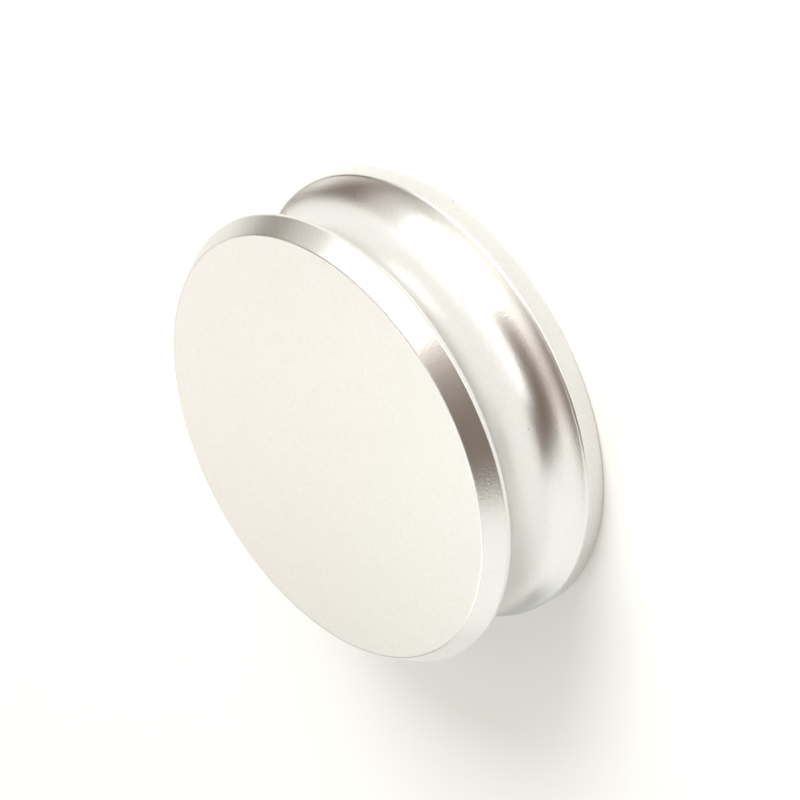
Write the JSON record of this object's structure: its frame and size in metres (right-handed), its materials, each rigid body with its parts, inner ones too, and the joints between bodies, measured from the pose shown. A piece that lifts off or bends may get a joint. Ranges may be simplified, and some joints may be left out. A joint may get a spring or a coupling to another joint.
{
  "type": "record weight",
  "caption": "Low turned metal disc with a round finger groove in its side and a blind bore that fits over a turntable spindle.",
  "frame": {"origin": "centre of the flat base, on the axis of the disc", "axes": "+Z along the axis, from the base up to the flat top face; X and Y are free, because the disc is round"},
  "size_m": [0.08, 0.08, 0.025],
  "materials": {
    "anodised_aluminium": "bead-blasted and clear-anodised, fine satin"
  },
  "bodies": {
    "root": {"weight_body": "anodised_aluminium"}
  },
  "joints": []
}
